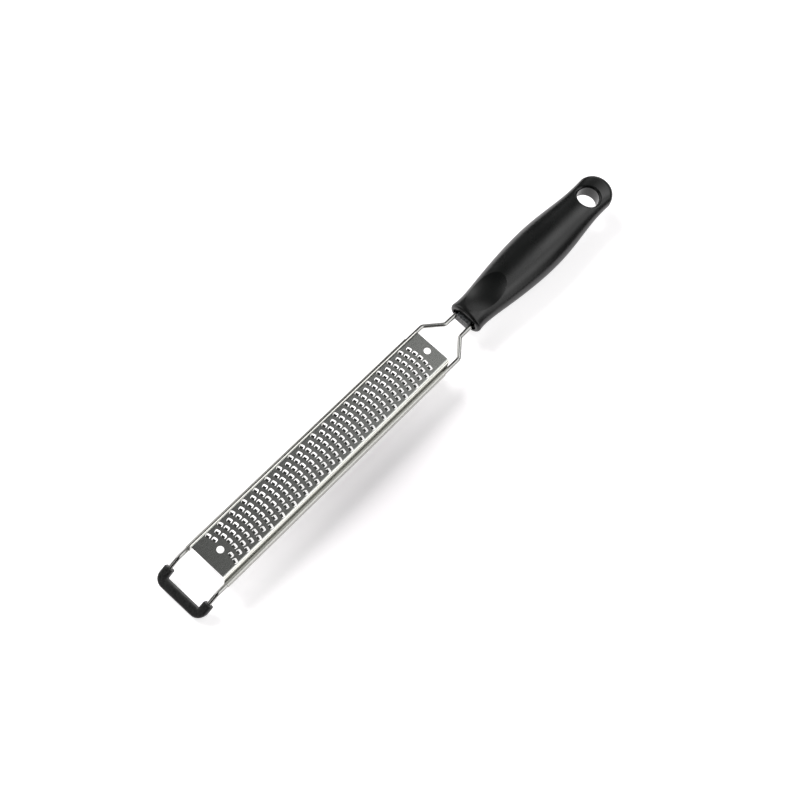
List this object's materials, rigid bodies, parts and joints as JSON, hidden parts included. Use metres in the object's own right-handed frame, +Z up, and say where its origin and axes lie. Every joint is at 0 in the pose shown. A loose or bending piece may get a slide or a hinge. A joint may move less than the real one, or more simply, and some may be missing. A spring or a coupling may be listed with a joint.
{
  "type": "rasp zester",
  "caption": "Long kitchen rasp for zesting: an etched steel blade in a bent wire frame, with a rubber foot and a moulded handle with a hanging hole.",
  "frame": {"origin": "on the surface that the tool rests on, under the middle of its length and width", "axes": "+X along the tool from the foot to the handle, +Z up out of the grating face"},
  "size_m": [0.3624, 0.034, 0.0197],
  "materials": {
    "blade_steel": "satin, fine grain across the etched face",
    "wire_steel": "polished",
    "foot_rubber": "matte, fine texture",
    "core_plastic": "matte, coarse texture",
    "grip_plastic": "satin, fine texture"
  },
  "bodies": {
    "root": {"blade": "blade_steel", "frame_wire": "wire_steel", "foot_cap": "foot_rubber", "handle_core": "core_plastic", "handle_grip": "grip_plastic"}
  },
  "joints": []
}
